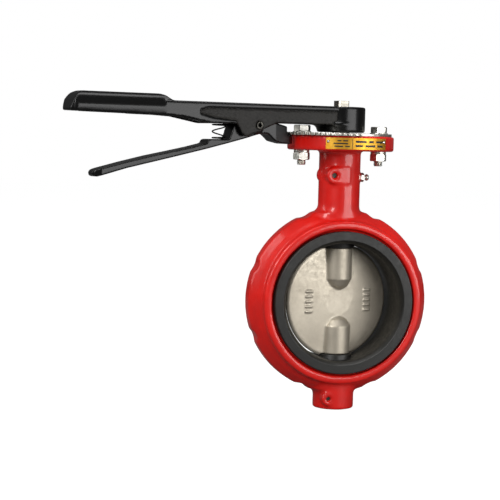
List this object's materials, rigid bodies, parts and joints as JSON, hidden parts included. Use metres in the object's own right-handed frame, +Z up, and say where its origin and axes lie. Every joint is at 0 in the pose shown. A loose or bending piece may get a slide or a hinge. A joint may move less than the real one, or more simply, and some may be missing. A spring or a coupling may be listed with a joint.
{
  "type": "butterfly valve",
  "caption": "Lever-operated wafer butterfly valve: a disc on a vertical stem turns in a rubber seat, and a toothed plate and squeeze trigger lock the handle.",
  "frame": {"origin": "where the stem axis crosses the pipe axis, at the centre of the bore", "axes": "+Y along the pipe, away from the side with the nameplate; +Z up the stem towards the handle; +X across the pipe, away from the handle"},
  "size_m": [0.3303, 0.124, 0.2697],
  "materials": {
    "red_enamel": "gloss",
    "epdm": "satin",
    "phenolic": "matt",
    "bronze": "satin",
    "nitrile": "satin",
    "ptfe": "matt",
    "zinc_steel": "bright zinc plated",
    "spring_steel": "phosphated",
    "yellow_plate": "satin",
    "rivet_aluminium": "bright",
    "cast_stainless": "fine cast, satin",
    "stem_steel": "turned",
    "black_enamel": "gloss over rough casting",
    "spring_wire": "drawn wire"
  },
  "bodies": {
    "valve_body": {"body_casting": "red_enamel", "seat_liner": "epdm", "seat_backing_ring": "phenolic", "neck_lower_bush": "bronze", "neck_upper_bush": "bronze", "lug_bush": "bronze", "neck_stem_orings": "nitrile", "lug_stem_oring": "nitrile", "stem_packing": "ptfe", "gland_washer": "zinc_steel", "neck_retaining_pin": "spring_steel", "lug_retaining_pin": "spring_steel", "lug_plug": "spring_steel", "grease_nipple": "zinc_steel", "nipple_ball": "zinc_steel", "lock_plate": "zinc_steel", "plate_bolts": "zinc_steel", "plate_washers": "zinc_steel", "spring_washers": "zinc_steel", "plate_nuts": "zinc_steel", "nameplate": "yellow_plate", "nameplate_rivets": "rivet_aluminium"},
    "drive": {"valve_disc": "cast_stainless", "upper_stem": "stem_steel", "lower_stem": "stem_steel", "lever_handle": "black_enamel", "handle_set_screw": "zinc_steel", "trigger_pivot_pin": "spring_steel", "return_spring": "spring_wire"},
    "trigger_arm": {"trigger": "black_enamel"}
  },
  "joints": [
    {"name": "handle_turn", "type": "hinge", "parent": "valve_body", "child": "drive", "pos_m": [0, 0, 0], "axis": [0, 0, 1], "range_deg": [-15, 75]},
    {"name": "trigger_squeeze", "type": "hinge", "parent": "drive", "child": "trigger_arm", "pos_m": [-0.08548, -0.0229, 0.1513], "axis": [-0.2588, 0.9659, 0], "range_deg": [0, 12], "stiffness_Nm_per_rad": 0.8, "springref_deg": -22.92, "deforming": ["return_spring"]}
  ]
}
